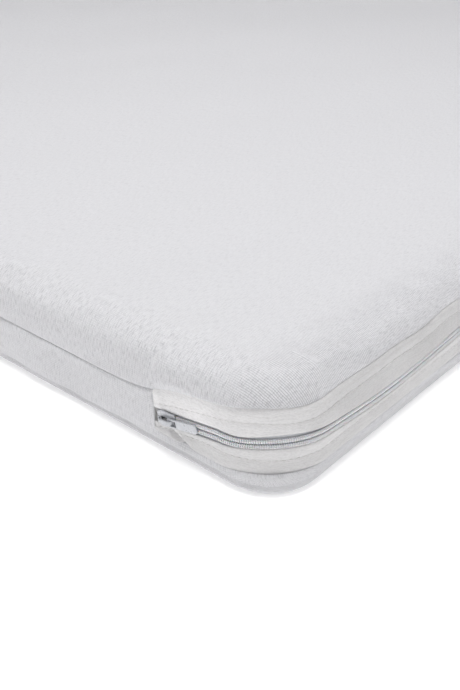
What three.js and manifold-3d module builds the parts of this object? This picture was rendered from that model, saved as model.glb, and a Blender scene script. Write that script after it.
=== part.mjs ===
// A pressure relief foam mattress: a two-layer foam core in an inner sleeve, inside a knitted cover whose
// halves are joined by a zip. Millimetres, +Z up. The origin is the centre of the underside, +X runs along
// the length, and the zip runs along the -Y side, round both of its corners and a little way up each end.
import * as THREE from 'three';
import { mergeVertices } from 'three/addons/utils/BufferGeometryUtils.js';
import Module from 'manifold-3d';

const wasm = await Module();
wasm.setup();

// Driving dimensions of the whole mattress
const LENGTH = 2000;
const WIDTH = 1000;
const THICKNESS = 70;
const CORNER_RADIUS = 43;      // in plan, at the side walls
const TOP_ROLL = 22;           // rounding of the upper edge
const BOTTOM_ROLL = 7;         // rounding of the lower edge
const CURVE_STEPS = 3;         // half the segments of each rounded corner, in plan
const CLEARANCE = 0.3;         // between neighbouring pieces

// Depths below the outer surface of the side walls, from outside to inside
const COVER_CLOTH = 1.6;
const FACING_DEPTH = [0, 2.2];
const COIL_DEPTH = [0.1, 2.3];
const TAPE_DEPTH = [2.6, 3.2];
const ALLOWANCE_DEPTH = [2.7, 5.0];
const STITCH_DEPTH = [-0.6, -0.3];
const SLEEVE_DEPTH = 5.3;
const SLEEVE_CLOTH = 1.0;
const SLEEVE_ROLLS = [3.5, 17];          // below and above, outside
const SLEEVE_INSIDE_ROLLS = [2.5, 16];

// Stations measured in from the zipped long side
const FACING_TURN = 43;        // where the corner's arc ends
const FACING_END = 90;         // where the zip facings stop on the end walls

// Heights of the seams at those stations
const MAIN_SEAM_HIGH = 54.5;   // top panel to upper facing, along the zip
const MAIN_SEAM_AT_TURN = 51.5;
const MAIN_SEAM_AT_FACING_END = 39.3;
const MAIN_SEAM_PLAIN = 35.5;  // top panel to bottom panel, away from the zip
const SEAM_FALLS_FROM = 20;    // stations between which the main seam falls
const SEAM_LEVEL_FROM = 110;
const LOWER_SEAM = 13;         // lower facing to bottom panel
const TOPSTITCH_DROP = 9;      // below the main seam
const LOWER_TOPSTITCH = 22;    // in the lower facing, falling with the zip on the end walls
const TOPSTITCH_CLEAR = 3;     // from the opening's edge
const ZIP_HEIGHT = 31;
const ZIP_SLOPE = 0.15;        // the zip dips towards its ends on the end walls

// The zip, a five-millimetre class nylon coil
const ROW_INNER = 0.65;        // from the zip's centre line to each row of coil
const ROW_OUTER = 3.1;
const OPENING_ALONG = 3.8;     // half the gap between the facings along the side
const OPENING_AT_ENDS = 4.3;   // half the gap where the slider runs
const OPENING_WIDENS_FROM = 34;
const TAPE_HALF_WIDTH = 15;
const COIL_START = 85.3;       // station where the coil stops, beside the slider
const COIL_FINISH = 80;        // station where it stops at the far end
const STOP_LENGTH = 2;
const SLIDER_STATION = 78.6;

// The core
const CORE_BASE_TOP = 36;
const CORE_BASE_ROLL = 2.2;
const CORE_TOP_ROLL = 15.7;
const RELIEF_DEPTH_ACROSS = 18;
const RELIEF_DEPTH_ALONG = 14;
const RELIEF_CUT = 4;
const RELIEF_PITCH_X = 150;
const RELIEF_PITCH_Y = 125;
const SLIT_HALF = 430;
const SLIT_HEIGHTS = [31, 39];

const OVERRUN = 20;            // of the shapes that cut others, past the surfaces they cut

const FINISHES = {
  baseFoam: { color: 0xe9e4c9, roughness: 0.95 },
  comfortFoam: { color: 0xd9e3ec, roughness: 0.95 },
  sleeveCloth: { color: 0xf4f4f2, roughness: 0.9 },
  knit: { color: 0xdcdcde, roughness: 0.92 },
  facing: { color: 0xdbd8d6, roughness: 0.88 },
  zipTape: { color: 0xd0d0d4, roughness: 0.85 },
  nylon: { color: 0xdadbdf, roughness: 0.4 },
  whiteMetal: { color: 0xe4e5e8, roughness: 0.25, metalness: 0.6 },
  thread: { color: 0xd2cfca, roughness: 0.8 },
};

// ---- Solids -------------------------------------------------------------------------------------------

function solid(geometry) {
  const bare = geometry.clone();
  bare.deleteAttribute('normal');
  bare.deleteAttribute('uv');
  const merged = mergeVertices(bare, 1e-4);
  const vertProperties = new Float32Array(merged.attributes.position.array);
  const triVerts = new Uint32Array(merged.index.array);
  return new wasm.Manifold(new wasm.Mesh({ numProp: 3, vertProperties, triVerts }));
}

function meshGeometry(manifold) {
  const { vertProperties, triVerts } = manifold.getMesh();
  const geometry = new THREE.BufferGeometry();
  geometry.setAttribute('position', new THREE.BufferAttribute(new Float32Array(vertProperties), 3));
  geometry.setIndex(new THREE.BufferAttribute(new Uint32Array(triVerts), 1));
  geometry.computeVertexNormals();
  return geometry;
}

function box(x0, x1, y0, y1, z0, z1) {
  const geometry = new THREE.BoxGeometry(x1 - x0, y1 - y0, z1 - z0);
  geometry.translate((x0 + x1) / 2, (y0 + y1) / 2, (z0 + z1) / 2);
  return solid(geometry);
}

function outlineAt(depth) {
  const x = LENGTH / 2 - depth;
  const y = WIDTH / 2 - depth;
  const r = CORNER_RADIUS - depth;
  const outline = new THREE.Shape();
  outline.absarc(x - r, y - r, r, 0, Math.PI / 2);
  outline.absarc(-x + r, y - r, r, Math.PI / 2, Math.PI);
  outline.absarc(-x + r, -y + r, r, Math.PI, 1.5 * Math.PI);
  outline.absarc(x - r, -y + r, r, 1.5 * Math.PI, 2 * Math.PI);
  outline.closePath();
  return outline;
}

// A slab with the mattress's plan, `depth` inside its walls, whose edges are rounded by `roll`.
function slab(depth, bottom, top, roll, rollSteps) {
  const geometry = new THREE.ExtrudeGeometry(outlineAt(depth + roll), {
    depth: top - bottom - 2 * roll,
    curveSegments: CURVE_STEPS,
    bevelThickness: roll,
    bevelSize: roll,
    bevelSegments: rollSteps,
  });
  geometry.translate(0, 0, bottom + roll);
  return solid(geometry);
}

// The same, with different roundings above and below. The lower rounding's own wall stands a hair proud,
// so that the two slabs share no surface.
function unevenSlab(depth, bottom, top, bottomRoll, topRoll) {
  const proud = 0.05;
  const lower = slab(depth - proud, bottom, top + THICKNESS, bottomRoll, 2);
  const upper = slab(depth, bottom - THICKNESS, top, topRoll, 4);
  return lower.intersect(upper);
}

// An upright wall that follows the sides all the way round, between two depths.
function wall([outer, inner]) {
  const outline = outlineAt(outer);
  outline.holes.push(outlineAt(inner));
  const geometry = new THREE.ExtrudeGeometry(outline, {
    depth: 2 * THICKNESS,
    curveSegments: CURVE_STEPS,
    bevelEnabled: false,
  });
  geometry.translate(0, 0, -THICKNESS / 2);
  return solid(geometry);
}

// A block across the whole length. Its end view lies between two lines of [station, height] points,
// where a station is the distance in from the zipped side.
function between(lower, upper) {
  const outline = new THREE.Shape();
  const points = [...lower, ...[...upper].reverse()];
  outline.moveTo(points[0][0] - WIDTH / 2, points[0][1]);
  for (const [station, height] of points.slice(1)) outline.lineTo(station - WIDTH / 2, height);
  outline.closePath();
  const depth = LENGTH + 2 * OVERRUN;
  const geometry = new THREE.ExtrudeGeometry(outline, { depth, bevelEnabled: false });
  const endView = new THREE.Matrix4().makeBasis(
    new THREE.Vector3(0, 1, 0),
    new THREE.Vector3(0, 0, 1),
    new THREE.Vector3(1, 0, 0),
  );
  geometry.applyMatrix4(endView);
  geometry.translate(-depth / 2, 0, 0);
  return solid(geometry);
}

// ---- Seam and zip lines, seen from the end ------------------------------------------------------------

const OUTSIDE = -OVERRUN;
const FAR_SIDE = WIDTH + OVERRUN;
const FAR_BELOW = -THICKNESS;
const FAR_ABOVE = 2 * THICKNESS;
const HALF_GAP = CLEARANCE / 2;

function zipHeight(station) {
  return ZIP_HEIGHT - ZIP_SLOPE * Math.max(0, station - FACING_TURN);
}

// The main seam is high along the zip, falls beside the facing's end and runs level from there on.
const MAIN_SEAM = [
  [OUTSIDE, MAIN_SEAM_HIGH],
  [SEAM_FALLS_FROM, MAIN_SEAM_HIGH],
  [FACING_TURN, MAIN_SEAM_AT_TURN],
  [FACING_END, MAIN_SEAM_AT_FACING_END],
  [SEAM_LEVEL_FROM, MAIN_SEAM_PLAIN],
  [FAR_SIDE, MAIN_SEAM_PLAIN],
];

function raised(line, amount) {
  return line.map(([station, height]) => [station, height + amount]);
}

function upTo(line, lastStation) {
  const kept = line.filter(([station]) => station < lastStation);
  const next = line.find(([station]) => station >= lastStation);
  const previous = kept[kept.length - 1];
  const share = (lastStation - previous[0]) / (next[0] - previous[0]);
  return [...kept, [lastStation, previous[1] + share * (next[1] - previous[1])]];
}

function zipLine(offsetAlong, offsetAtEnds, lastStation) {
  return [
    [OUTSIDE, ZIP_HEIGHT + offsetAlong],
    [OPENING_WIDENS_FROM, ZIP_HEIGHT + offsetAlong],
    [FACING_TURN, ZIP_HEIGHT + offsetAtEnds],
    [lastStation, zipHeight(lastStation) + offsetAtEnds],
  ];
}

function level(height, lastStation) {
  return [[OUTSIDE, height], [lastStation, height]];
}

const facingStop = FACING_END - HALF_GAP;
const facingTop = raised(upTo(MAIN_SEAM, facingStop), -HALF_GAP);
const facingBottom = level(LOWER_SEAM + HALF_GAP, facingStop);

// ---- Core and cover -----------------------------------------------------------------------------------

const coverTopInside = THICKNESS - COVER_CLOTH;
const sleeveBottom = COVER_CLOTH + 0.4;
const sleeveTop = coverTopInside - CLEARANCE;
const sleeveInside = SLEEVE_DEPTH + SLEEVE_CLOTH;
const coreDepth = sleeveInside + CLEARANCE;
const coreBottom = sleeveBottom + SLEEVE_CLOTH + CLEARANCE;
const coreTop = sleeveTop - SLEEVE_CLOTH - CLEARANCE;

function makeBaseFoam() {
  const layer = between(level(FAR_BELOW, FAR_SIDE), level(CORE_BASE_TOP - HALF_GAP, FAR_SIDE));
  return slab(coreDepth, coreBottom, THICKNESS, CORE_BASE_ROLL, 2).intersect(layer);
}

// The comfort layer is cut across and along into cells, which sink on their own under a load.
function makeComfortFoam() {
  const layer = between(level(CORE_BASE_TOP + HALF_GAP, FAR_SIDE), level(FAR_ABOVE, FAR_SIDE));
  const foam = slab(coreDepth, 0, coreTop, CORE_TOP_ROLL, 4).intersect(layer);
  const reachX = 6 * RELIEF_PITCH_X;
  const reachY = 3 * RELIEF_PITCH_Y;
  const half = RELIEF_CUT / 2;
  const floorAcross = coreTop - RELIEF_DEPTH_ACROSS;
  const floorAlong = coreTop - RELIEF_DEPTH_ALONG;
  let cut = foam;
  for (let x = -reachX; x <= reachX; x += RELIEF_PITCH_X) {
    const reach = reachY + OVERRUN;
    cut = cut.subtract(box(x - half, x + half, -reach, reach, floorAcross, THICKNESS));
  }
  for (let y = -reachY; y <= reachY; y += RELIEF_PITCH_Y) {
    const reach = reachX + OVERRUN;
    cut = cut.subtract(box(-reach, reach, y - half, y + half, floorAlong, THICKNESS));
  }
  return cut;
}

// A thin knitted sleeve round the whole core, with the slit in its far end that the core went in by.
function makeSleeve() {
  const outside = unevenSlab(SLEEVE_DEPTH, sleeveBottom, sleeveTop, ...SLEEVE_ROLLS);
  const insideBottom = sleeveBottom + SLEEVE_CLOTH;
  const insideTop = sleeveTop - SLEEVE_CLOTH;
  const inside = unevenSlab(sleeveInside, insideBottom, insideTop, ...SLEEVE_INSIDE_ROLLS);
  const slit = box(LENGTH / 2 - OVERRUN, LENGTH / 2, -SLIT_HALF, SLIT_HALF, ...SLIT_HEIGHTS);
  return outside.subtract(inside).subtract(slit);
}

function makeTopPanel() {
  const outside = slab(0, -THICKNESS, THICKNESS, TOP_ROLL, 5);
  const inside = slab(COVER_CLOTH, -THICKNESS - 10, coverTopInside, TOP_ROLL - COVER_CLOTH, 5);
  const above = between(raised(MAIN_SEAM, HALF_GAP), level(FAR_ABOVE, FAR_SIDE));
  return outside.subtract(inside).intersect(above);
}

function makeBottomPanel() {
  const outside = slab(0, 0, 2 * THICKNESS, BOTTOM_ROLL, 3);
  const inside = slab(COVER_CLOTH, COVER_CLOTH, 2 * THICKNESS + 10, BOTTOM_ROLL - COVER_CLOTH, 3);
  const beyond = FACING_END + HALF_GAP;
  const plain = MAIN_SEAM.filter(([station]) => station > beyond);
  const rim = [
    [OUTSIDE, LOWER_SEAM - HALF_GAP],
    [beyond, LOWER_SEAM - HALF_GAP],
    [beyond, MAIN_SEAM[3][1] - HALF_GAP],
    ...raised(plain, -HALF_GAP),
  ];
  const below = between(level(FAR_BELOW, FAR_SIDE), rim);
  return outside.subtract(inside).intersect(below);
}

// ---- Zip facings, tapes and coil ----------------------------------------------------------------------

function makeFacing(side) {
  const edge = zipLine(side * OPENING_ALONG, side * OPENING_AT_ENDS, facingStop);
  const outline = side > 0 ? between(edge, facingTop) : between(facingBottom, edge);
  return wall(FACING_DEPTH).intersect(outline);
}

// A tape is as wide as the facing leaves room for, and narrows towards its end.
function makeTape(side) {
  const inner = zipLine(side * ROW_INNER, side * ROW_INNER, facingStop);
  const edge = side > 0 ? ZIP_HEIGHT + TAPE_HALF_WIDTH : LOWER_SEAM + 3;
  const endEdge = side > 0 ? MAIN_SEAM_PLAIN : LOWER_SEAM + 2;
  const outer = [[OUTSIDE, edge], [FACING_TURN, edge], [facingStop, endEdge]];
  const outline = side > 0 ? between(inner, outer) : between(outer, inner);
  return wall(TAPE_DEPTH).intersect(outline);
}

// The room about the end wall at x = end * LENGTH / 2, on the zipped side, from a station inwards.
function endRoom(end, station) {
  const middle = end * LENGTH / 2;
  return box(middle - OVERRUN, middle + OVERRUN, station - WIDTH / 2, 0, 0, THICKNESS);
}

// One row of the coil, from its start beside the slider on one end wall to its finish on the other.
function makeCoil(side) {
  const inner = zipLine(side * ROW_INNER, side * ROW_INNER, COIL_START);
  const outer = zipLine(side * ROW_OUTER, side * ROW_OUTER, COIL_START);
  const outline = side > 0 ? between(inner, outer) : between(outer, inner);
  const farEnd = endRoom(1, COIL_FINISH);
  return wall(COIL_DEPTH).intersect(outline).subtract(farEnd);
}

// A short block on the end wall at x = end * LENGTH / 2, from one station to the next along the zip.
function zipBlock(end, station, length, low, high) {
  const stop = station + length;
  const outline = between(
    [[station, zipHeight(station) + low], [stop, zipHeight(stop) + low]],
    [[station, zipHeight(station) + high], [stop, zipHeight(stop) + high]],
  );
  return wall(COIL_DEPTH).intersect(outline).intersect(endRoom(end, 0));
}

function makeTopStop(side) {
  const [low, high] = side > 0 ? [ROW_INNER, ROW_OUTER] : [-ROW_OUTER, -ROW_INNER];
  return zipBlock(-1, COIL_START + CLEARANCE, STOP_LENGTH, low, high);
}

function makeBottomStop() {
  return zipBlock(1, COIL_FINISH + CLEARANCE, 2 * STOP_LENGTH, -ROW_OUTER, ROW_OUTER);
}

// ---- Stitching ----------------------------------------------------------------------------------------

const OVERLOCK_WIDTH = 2.8;
const OVERLOCK_SET_BACK = 0.2;

// The overlocked allowance of the main seam, a ring inside the whole cover, folded down.
function makeMainAllowance() {
  const high = raised(MAIN_SEAM, -OVERLOCK_SET_BACK);
  const low = raised(high, -OVERLOCK_WIDTH);
  return wall(ALLOWANCE_DEPTH).intersect(between(low, high));
}

// The allowance of the lower facing's seam, folded down over the bottom panel.
function makeLowerAllowance() {
  const high = level(LOWER_SEAM, facingStop);
  const low = raised(high, -OVERLOCK_WIDTH);
  return wall(ALLOWANCE_DEPTH).intersect(between(low, high));
}

// The upright allowance where a facing's end is sewn to the bottom panel, on the end wall at `end`.
function makeEndAllowance(end) {
  const start = FACING_END + CLEARANCE;
  const stop = start + 2.5;
  const outline = between(
    [[start, LOWER_SEAM], [stop, LOWER_SEAM]],
    [[start, MAIN_SEAM_PLAIN], [stop, MAIN_SEAM_PLAIN]],
  );
  return wall(ALLOWANCE_DEPTH).intersect(outline).intersect(endRoom(end, 0));
}

function makeTopstitch(side) {
  const half = 0.3;
  const last = facingStop - 4;
  const lowerEnd = zipHeight(last) - OPENING_AT_ENDS - TOPSTITCH_CLEAR;
  const line = side > 0
    ? raised(upTo(MAIN_SEAM, last), -TOPSTITCH_DROP)
    : [[OUTSIDE, LOWER_TOPSTITCH], [FACING_TURN, LOWER_TOPSTITCH], [last, lowerEnd]];
  return wall(STITCH_DEPTH).intersect(between(raised(line, -half), raised(line, half)));
}

// ---- Slider and pull tab ------------------------------------------------------------------------------
// Their own frame: x along the zip towards the corner, y up the wall, z out of the wall.

const SLIDER_LENGTH = 13;
const NOSE_HALF = 4.9;
const TAIL_HALF = 4.1;
const PLATE = 1.1;
const OUTER_PLATE = 0.2;       // inner face of the outer plate, above the facings
const INNER_PLATE = -4.6;      // inner face of the inner plate, behind the tapes
const WEB_HALF = 0.35;
const FLANGE = [3.4, 3.9];     // from the slider's middle, one on each side
const CROWN_HALF = 1.1;
const CROWN_REACH = [-5.5, 5.6];
const CROWN_GAP = [-4.4, 4.6];
const CROWN_RISE = 3.3;
const CROWN_METAL = 1.0;
const TAB_PIVOT_X = 3.0;
const TAB_PIVOT_Z = 2.45;
const TAB_LENGTH = 19.5;
const TAB_HALF = 3;
const TAB_THICKNESS = 1;
const TAB_NECK = 2.7;
const TAB_SLOT_HALF = 1.9;
const TAB_SLOT_REACH = 4.8;
const TAB_BAR_HALF = 0.75;
const TAB_SAG = 0.5;           // the loose tab has dropped by its play on the crown
const TAB_LEAN = 5.6;          // degrees, so that the tab's tip lies on the coil
const TAB_ROLL = 6;            // degrees, its lower edge turned in

function plateOutline() {
  const half = SLIDER_LENGTH / 2;
  const outline = new THREE.Shape();
  outline.moveTo(half, -TAIL_HALF + 0.6);
  outline.lineTo(half, TAIL_HALF - 0.6);
  outline.quadraticCurveTo(half, TAIL_HALF, half - 0.8, TAIL_HALF);
  outline.bezierCurveTo(1, TAIL_HALF, 0, NOSE_HALF, -half + 3.4, NOSE_HALF);
  outline.quadraticCurveTo(-half + 0.2, NOSE_HALF, -half, 1.6);
  outline.lineTo(-half + 0.9, 0);
  outline.lineTo(-half, -1.6);
  outline.quadraticCurveTo(-half + 0.2, -NOSE_HALF, -half + 3.4, -NOSE_HALF);
  outline.bezierCurveTo(0, -NOSE_HALF, 1, -TAIL_HALF, half - 0.8, -TAIL_HALF);
  outline.quadraticCurveTo(half, -TAIL_HALF, half, -TAIL_HALF + 0.6);
  return outline;
}

function plate(bottom, thickness) {
  const bevel = 0.2;
  const geometry = new THREE.ExtrudeGeometry(plateOutline(), {
    depth: thickness - 2 * bevel,
    curveSegments: 5,
    bevelThickness: bevel,
    bevelSize: bevel,
    bevelOffset: -bevel,
    bevelSegments: 1,
  });
  geometry.translate(0, 0, bottom + bevel);
  return solid(geometry);
}

// The bridge on the outer plate, which the tab hangs from.
function crown() {
  const foot = OUTER_PLATE + PLATE - 0.3;
  const top = foot + 0.3 + CROWN_RISE;
  const arch = new THREE.Shape();
  const [nose, tail] = CROWN_REACH;
  arch.moveTo(tail, foot);
  arch.bezierCurveTo(tail, top - 1, tail - 1, top, tail - 2.6, top);
  arch.lineTo(nose + 3.5, top);
  arch.bezierCurveTo(nose + 1.5, top, nose, top, nose, foot);
  arch.closePath();
  const inside = top - CROWN_METAL;
  const gap = new THREE.Path();
  const [gapNose, gapTail] = CROWN_GAP;
  gap.moveTo(gapNose, foot + 0.3);
  gap.bezierCurveTo(gapNose, inside, gapNose + 1, inside, gapNose + 2.4, inside);
  gap.lineTo(gapTail - 1.7, inside);
  gap.bezierCurveTo(gapTail - 0.5, inside, gapTail, inside - 0.6, gapTail, foot + 0.3);
  gap.closePath();
  arch.holes.push(gap);
  const geometry = new THREE.ExtrudeGeometry(arch, {
    depth: 2 * CROWN_HALF,
    curveSegments: 4,
    bevelEnabled: false,
  });
  geometry.rotateX(Math.PI / 2);
  geometry.translate(0, CROWN_HALF, 0);
  return solid(geometry);
}

function makeSlider() {
  const half = SLIDER_LENGTH / 2;
  const sink = 0.3;
  const tapeFace = -TAPE_DEPTH[0] + CLEARANCE;
  const outerFace = OUTER_PLATE + sink;
  const web = box(-half + 1, -half + 4.2, -WEB_HALF, WEB_HALF, INNER_PLATE + sink, outerFace);
  let slider = plate(OUTER_PLATE, PLATE).add(plate(INNER_PLATE, PLATE)).add(web);
  for (const side of [-1, 1]) {
    const [low, high] = side > 0 ? FLANGE : [-FLANGE[1], -FLANGE[0]];
    slider = slider.add(box(-half + 1.2, half - 0.6, low, high, tapeFace, outerFace));
  }
  return slider.add(crown());
}

function makePullTab() {
  const end = TAB_LENGTH;
  const outline = new THREE.Shape();
  outline.moveTo(-TAB_BAR_HALF, -TAB_NECK);
  outline.lineTo(4, -TAB_NECK);
  outline.bezierCurveTo(6, -TAB_NECK, 6, -TAB_HALF, 8, -TAB_HALF);
  outline.lineTo(end - 2, -TAB_HALF);
  outline.quadraticCurveTo(end, -TAB_HALF, end, 0);
  outline.quadraticCurveTo(end, TAB_HALF, end - 2, TAB_HALF);
  outline.lineTo(8, TAB_HALF);
  outline.bezierCurveTo(6, TAB_HALF, 6, TAB_NECK, 4, TAB_NECK);
  outline.lineTo(-TAB_BAR_HALF, TAB_NECK);
  outline.closePath();
  const slot = new THREE.Path();
  slot.moveTo(TAB_BAR_HALF, -TAB_SLOT_HALF);
  slot.lineTo(TAB_SLOT_REACH, -TAB_SLOT_HALF);
  slot.lineTo(TAB_SLOT_REACH, TAB_SLOT_HALF);
  slot.lineTo(TAB_BAR_HALF, TAB_SLOT_HALF);
  slot.closePath();
  outline.holes.push(slot);
  const geometry = new THREE.ExtrudeGeometry(outline, {
    depth: TAB_THICKNESS,
    curveSegments: 5,
    bevelEnabled: false,
  });
  geometry.translate(0, 0, -TAB_THICKNESS / 2);
  geometry.rotateX(THREE.MathUtils.degToRad(TAB_ROLL));
  geometry.rotateY(THREE.MathUtils.degToRad(TAB_LEAN));
  geometry.translate(TAB_PIVOT_X, -TAB_SAG, TAB_PIVOT_Z);
  return geometry;
}

// ---- The assembly -------------------------------------------------------------------------------------

const mattress = new THREE.Group();

function place(name, finish, geometry, parent = mattress) {
  const material = new THREE.MeshStandardMaterial(FINISHES[finish]);
  const mesh = new THREE.Mesh(geometry, material);
  mesh.name = name;
  parent.add(mesh);
}

place('foam_base', 'baseFoam', meshGeometry(makeBaseFoam()));
place('foam_comfort_layer', 'comfortFoam', meshGeometry(makeComfortFoam()));
place('inner_sleeve', 'sleeveCloth', meshGeometry(makeSleeve()));
place('cover_top_panel', 'knit', meshGeometry(makeTopPanel()));
place('cover_bottom_panel', 'knit', meshGeometry(makeBottomPanel()));
place('main_seam_allowance', 'thread', meshGeometry(makeMainAllowance()));
place('lower_seam_allowance', 'thread', meshGeometry(makeLowerAllowance()));

for (const [word, side] of [['upper', 1], ['lower', -1]]) {
  place(`zip_facing_${word}`, 'facing', meshGeometry(makeFacing(side)));
  place(`zip_tape_${word}`, 'zipTape', meshGeometry(makeTape(side)));
  place(`zip_coil_${word}`, 'nylon', meshGeometry(makeCoil(side)));
  place(`top_stop_${word}`, 'whiteMetal', meshGeometry(makeTopStop(side)));
  place(`topstitch_${word}`, 'thread', meshGeometry(makeTopstitch(side)));
}
place('bottom_stop', 'whiteMetal', meshGeometry(makeBottomStop()));

for (const [word, end] of [['slider_end', -1], ['far_end', 1]]) {
  place(`facing_end_seam_${word}`, 'thread', meshGeometry(makeEndAllowance(end)));
}

const zipEnd = new THREE.Group();
const slope = Math.atan(ZIP_SLOPE);
const alongZip = new THREE.Vector3(0, -Math.cos(slope), Math.sin(slope));
const upWall = new THREE.Vector3(0, Math.sin(slope), Math.cos(slope));
const outOfWall = new THREE.Vector3(-1, 0, 0);
zipEnd.quaternion.setFromRotationMatrix(new THREE.Matrix4().makeBasis(alongZip, upWall, outOfWall));
zipEnd.position.set(-LENGTH / 2, SLIDER_STATION - WIDTH / 2, zipHeight(SLIDER_STATION));
place('slider_body', 'whiteMetal', meshGeometry(makeSlider()), zipEnd);
place('pull_tab', 'whiteMetal', makePullTab(), zipEnd);
mattress.add(zipEnd);

export default mattress;
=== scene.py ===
"""A pressure relief foam mattress in a zipped, knitted cover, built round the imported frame.

The shapes are worked out in millimetres and made into meshes in metres. Most pieces follow the outline of
the side walls. A place on the outline is `walk`, the distance along it, which starts where the zip facings
end beside the slider, goes round the near corner and then along the zipped side. A depth is measured
inwards from the outline, and a station is the distance in from the zipped side.
"""

import math

import bmesh
import bpy
import numpy as np
from mathutils import Matrix, Vector

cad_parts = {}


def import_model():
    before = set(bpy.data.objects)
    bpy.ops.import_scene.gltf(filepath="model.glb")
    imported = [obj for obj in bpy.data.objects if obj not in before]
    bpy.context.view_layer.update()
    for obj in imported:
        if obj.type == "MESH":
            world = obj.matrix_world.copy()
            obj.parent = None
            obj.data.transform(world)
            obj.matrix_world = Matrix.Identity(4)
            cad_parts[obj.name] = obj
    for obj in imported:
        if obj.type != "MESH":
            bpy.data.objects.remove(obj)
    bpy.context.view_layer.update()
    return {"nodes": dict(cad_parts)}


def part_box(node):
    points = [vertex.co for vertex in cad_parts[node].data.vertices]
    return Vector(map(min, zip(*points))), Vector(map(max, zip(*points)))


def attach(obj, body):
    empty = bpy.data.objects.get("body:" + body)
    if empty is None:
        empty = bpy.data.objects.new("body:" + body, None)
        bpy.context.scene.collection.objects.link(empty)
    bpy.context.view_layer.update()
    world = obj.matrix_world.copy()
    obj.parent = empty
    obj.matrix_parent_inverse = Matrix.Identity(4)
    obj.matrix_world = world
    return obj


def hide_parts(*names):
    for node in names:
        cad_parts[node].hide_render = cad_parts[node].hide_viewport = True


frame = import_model()

MM = 0.001
scene = bpy.context.scene

# ---- The form, from the frame ----
panel_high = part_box("cover_top_panel")[1] / MM
HALF_LENGTH, HALF_WIDTH, THICKNESS = panel_high

# ---- Driving dimensions, in millimetres ----
CORNER = 43.0          # plan radius of the side walls
TOP_ROLL = 22.0        # rounding of the upper edge
BOTTOM_ROLL = 6.0      # rounding of the lower edge
FOOT_CORNER = 32.0     # plan radius of the lower edge, tighter than the walls above it
FACING_END = 90.0      # station where the zip facings stop on the end walls
ZIP_HEIGHT = 31.0
ZIP_SLOPE = 0.15       # how the zip dips towards its ends on the end walls
LOWER_SEAM = 13.0
TOPSTITCH_DROP = 9.0
LOWER_TOPSTITCH_RISE = 9.0
STITCH_PITCH = 4.0
STITCH_LENGTH = 3.2
STITCH_RADIUS = 0.2
LEAST_FLAP = 3.2       # from the opening's edge to the topstitching
TAPE_DEPTHS = (1.75, 2.35)
TAPE_HALF = 15.0
COIL_ROW = (0.65, 3.1)  # inner and outer side of a row, from the zip's centre line
COIL_PITCH = 1.27
COIL_START = 85.3      # station where the coil stops, beside the slider
COIL_FINISH = 80.0     # station where it stops at the far end
TOP_STOP = 2.0         # lengths of the metal stops
BOTTOM_STOP = 4.0
STOP_GAP = 0.3         # from a stop to the coil
TACK = (0.5, 2.6)      # where a bar tack starts and stops, from the facings' end
SLIDER_STATION = 78.6
TAB_PIVOT = (3.0, -0.5, 2.45)  # in the slider's frame
TAB_LEAN = 5.6         # degrees that the tab's tip hangs in towards the wall
TAB_ROLL = 6.0         # degrees that its lower edge is turned in
SETTLING_FRAMES = 20   # of each cloth simulation

# The outline, leg by leg
LEG = FACING_END - CORNER
ARC = CORNER * math.pi / 2
LONG = 2 * (HALF_LENGTH - CORNER)
SHORT = 2 * (HALF_WIDTH - CORNER)
FACING_LENGTH = 2 * LEG + 2 * ARC + LONG
PERIMETER = 2 * (LONG + SHORT) + 4 * ARC


# ---- Lines and curves ----
def smooth(share):
    """0 to 1 with level ends."""
    share = np.clip(share, 0, 1)
    return share * share * (3 - 2 * share)


def waves(places, wavelength, seed, count=6):
    """A soft random swell of about unit height over one or two coordinates."""
    draw = np.random.default_rng(seed)
    total = 0
    for _ in range(count):
        angle, phase = draw.uniform(0, 2 * math.pi, 2)
        pitch = 2 * math.pi / (wavelength * draw.uniform(0.7, 1.6))
        along = sum(axis * part for axis, part in zip(places, (math.cos(angle), math.sin(angle))))
        total = total + np.sin(pitch * along + phase)
    return total / math.sqrt(count / 2)


def outline(walk):
    """Points on the outline and their outward directions, as arrays x, y, nx, ny."""
    walk = np.mod(np.asarray(walk, float), PERIMETER)
    far = HALF_LENGTH - CORNER
    wide = HALF_WIDTH - CORNER
    legs = [
        (LEG, (-far, -wide + LEG), 180),
        (ARC, (-far, -wide), 180),
        (LONG, (-far, -wide), 270),
        (ARC, (far, -wide), 270),
        (SHORT, (far, -wide), 0),
        (ARC, (far, wide), 0),
        (LONG, (far, wide), 90),
        (ARC, (-far, wide), 90),
        (SHORT - LEG, (-far, wide), 180),
    ]
    x, y, nx, ny = (np.zeros_like(walk) for _ in range(4))
    start = 0.0
    for number, (length, centre, facing) in enumerate(legs):
        here = (walk >= start) & (walk <= start + length + 1e-9)
        gone = walk[here] - start
        turn = gone / CORNER if number % 2 else np.zeros_like(gone)
        straight = np.zeros_like(gone) if number % 2 else gone
        angle = np.radians(facing) + turn
        nx[here], ny[here] = np.cos(angle), np.sin(angle)
        x[here] = centre[0] + CORNER * nx[here] - straight * ny[here]
        y[here] = centre[1] + CORNER * ny[here] + straight * nx[here]
        start += length
    return x, y, nx, ny


def station_of(walk):
    return outline(walk)[1] + HALF_WIDTH


def past_corner(walk):
    """How far a place is past the start of the nearer corner. It is below 0 on the end walls."""
    return np.minimum(walk, FACING_LENGTH - walk) - LEG


def seam_height(walk):
    """The main seam: high along the zip, falling beside the facings' ends, level from there on."""
    station = station_of(walk)
    stations = [20, 43, 64.5, 90, 104, 125]
    heights = [54.5, 51.2, 46.3, 39.3, 36.6, 35.4]
    height = sum(np.interp(station + shift, stations, heights) for shift in (-8, -4, 0, 4, 8)) / 5
    along = np.where(walk <= FACING_LENGTH, past_corner(walk), 0)
    waver = 1.1 * np.sin(along / 11.5 + 0.4) * np.sin(along / 47 + 0.9)
    return height + waver * smooth(along / 60) + 0.25 * waves([np.asarray(walk, float)], 90, 3)


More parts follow.
